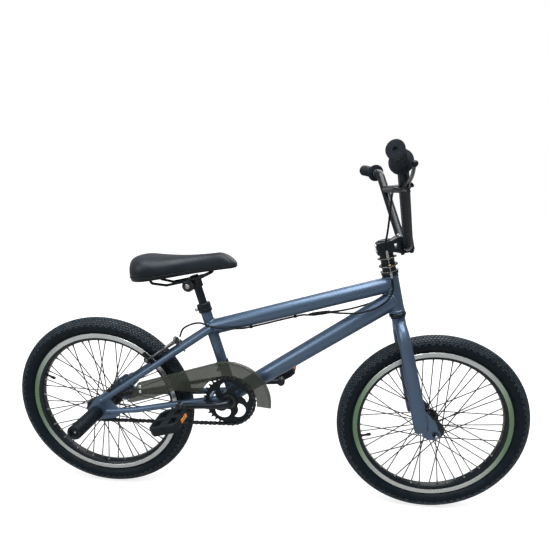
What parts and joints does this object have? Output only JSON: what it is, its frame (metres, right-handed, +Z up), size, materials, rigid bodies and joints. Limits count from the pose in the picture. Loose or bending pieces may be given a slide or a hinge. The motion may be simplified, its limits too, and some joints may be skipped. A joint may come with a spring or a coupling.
{
  "type": "freestyle bmx bike",
  "caption": "Small-wheeled freestyle bicycle with a rise handlebar, cable detangler, rear caliper brake, chain guard, platform pedals and rear axle pegs.",
  "frame": {"origin": "on the ground, midway between the wheel axles, in the bicycle's middle plane", "axes": "+X forwards, +Y to the rider's left, +Z up"},
  "size_m": [1.426, 0.6868, 0.9406],
  "materials": {
    "frame_paint": "metallic slate blue gloss",
    "black_paint": "gloss black",
    "black_plastic": "matte black",
    "grip_rubber": "ribbed matte black",
    "tyre_rubber": "matte black",
    "bright_metal": "machined and polished",
    "dark_steel": "dark satin",
    "smoked_plastic": "translucent smoked",
    "vinyl": "satin black-blue vinyl"
  },
  "bodies": {
    "frame": {"head_tube": "frame_paint", "top_tube": "frame_paint", "down_tube": "frame_paint", "seat_tube": "frame_paint", "bottom_bracket_shell": "frame_paint", "bracket_cup_right": "black_paint", "bracket_cup_left": "black_paint", "seat_stay_right": "frame_paint", "seat_stay_left": "frame_paint", "chain_stay_right": "frame_paint", "chain_stay_left": "frame_paint", "dropout_right": "frame_paint", "dropout_left": "frame_paint", "lower_cup": "black_paint", "upper_cup": "black_paint", "detangler_lower_plate": "dark_steel", "lower_cables": "black_plastic", "rear_brake_cable": "black_plastic", "chain_guard": "smoked_plastic", "rear_axle": "dark_steel", "rear_peg_right": "black_paint", "rear_peg_left": "black_paint", "seat_clamp": "black_paint", "brake_centre_bolt": "bright_metal", "chain": "dark_steel"},
    "steering": {"steerer_and_crown": "frame_paint", "fork_leg_right": "frame_paint", "fork_leg_left": "frame_paint", "front_axle": "dark_steel", "headset_spacer": "black_paint", "detangler_upper_plate": "dark_steel", "stem_body": "black_paint", "stem_cap": "black_paint", "handlebar": "black_paint", "grip_right": "grip_rubber", "grip_left": "grip_rubber", "lever_bracket": "black_paint", "upper_brake_cable": "black_plastic"},
    "front_wheel": {"front_tyre": "tyre_rubber", "front_rim": "bright_metal", "front_hub": "black_paint"},
    "rear_wheel": {"rear_tyre": "tyre_rubber", "rear_rim": "bright_metal", "rear_hub": "black_paint"},
    "cog": {"rear_cog": "dark_steel"},
    "cranks": {"crank": "black_paint", "chainring": "black_paint", "pedal_spindle_right": "dark_steel", "pedal_spindle_left": "dark_steel"},
    "pedal_right": {"pedal_body_right": "black_plastic"},
    "pedal_left": {"pedal_body_left": "black_plastic"},
    "brake_lever": {"brake_lever": "bright_metal"},
    "upper_disc": {"detangler_upper_disc": "bright_metal"},
    "lower_disc": {"detangler_lower_disc": "bright_metal"},
    "brake_arm_right": {"brake_arm_right": "bright_metal"},
    "brake_arm_left": {"brake_arm_left": "bright_metal"},
    "seat": {"seat_post": "black_paint", "saddle_clamp": "dark_steel", "saddle_rails": "black_paint", "saddle": "vinyl"}
  },
  "joints": [
    {"name": "steering", "type": "hinge", "parent": "frame", "child": "steering", "pos_m": [0.42562, 0, 0.24696], "axis": [-0.2588, 0, 0.9659], "continuous": true},
    {"name": "front_wheel_spin", "type": "hinge", "parent": "steering", "child": "front_wheel", "pos_m": [0.4575, 0, 0.2555], "axis": [0, 1, 0], "continuous": true},
    {"name": "rear_wheel_spin", "type": "hinge", "parent": "frame", "child": "rear_wheel", "pos_m": [-0.4575, 0, 0.2555], "axis": [0, 1, 0], "continuous": true},
    {"name": "crank_spin", "type": "hinge", "parent": "frame", "child": "cranks", "pos_m": [-0.08882, 0, 0.308], "axis": [0, 1, 0], "continuous": true, "deforming": ["chain"]},
    {"name": "cog_spin", "type": "hinge", "parent": "frame", "child": "cog", "pos_m": [-0.4575, 0, 0.2555], "axis": [0, 1, 0], "continuous": true, "deforming": ["chain"]},
    {"name": "pedal_right_spin", "type": "hinge", "parent": "cranks", "child": "pedal_right", "pos_m": [-0.21533, -0.078, 0.29693], "axis": [0, 1, 0], "continuous": true},
    {"name": "pedal_left_spin", "type": "hinge", "parent": "cranks", "child": "pedal_left", "pos_m": [0.0377, 0.078, 0.31907], "axis": [0, 1, 0], "continuous": true},
    {"name": "brake_lever_pull", "type": "hinge", "parent": "steering", "child": "brake_lever", "pos_m": [0.30106, -0.21772, 0.87117], "axis": [-0.4821, -0.2911, -0.8263], "range_deg": [0, 5.5], "stiffness_Nm_per_rad": 2, "springref_deg": -5.73},
    {"name": "upper_disc_lift", "type": "slide", "parent": "steering", "child": "upper_disc", "axis": [-0.2588, 0, 0.9659], "range_m": [0, 0.0024]},
    {"name": "lower_disc_lift", "type": "slide", "parent": "frame", "child": "lower_disc", "axis": [-0.2588, 0, 0.9659], "range_m": [0, 0.0024]},
    {"name": "brake_arm_right_close", "type": "hinge", "parent": "frame", "child": "brake_arm_right", "pos_m": [-0.24252, 0, 0.45515], "axis": [0.5785, 0, -0.8157], "range_deg": [0, 0.86]},
    {"name": "brake_arm_left_close", "type": "hinge", "parent": "frame", "child": "brake_arm_left", "pos_m": [-0.24252, 0, 0.45515], "axis": [-0.5785, 0, 0.8157], "range_deg": [0, 0.86]},
    {"name": "seat_height", "type": "slide", "parent": "frame", "child": "seat", "axis": [-0.2874, 0, 0.9578], "range_m": [-0.03, 0.05]}
  ],
  "couplings": [
    {"joint": "cog_spin", "follows": "crank_spin", "ratio": 2.125},
    {"joint": "upper_disc_lift", "follows": "brake_lever_pull", "m_per_rad": 0.023},
    {"joint": "lower_disc_lift", "follows": "brake_lever_pull", "m_per_rad": 0.023},
    {"joint": "brake_arm_right_close", "follows": "brake_lever_pull", "ratio": 0.155},
    {"joint": "brake_arm_left_close", "follows": "brake_lever_pull", "ratio": 0.155}
  ]
}
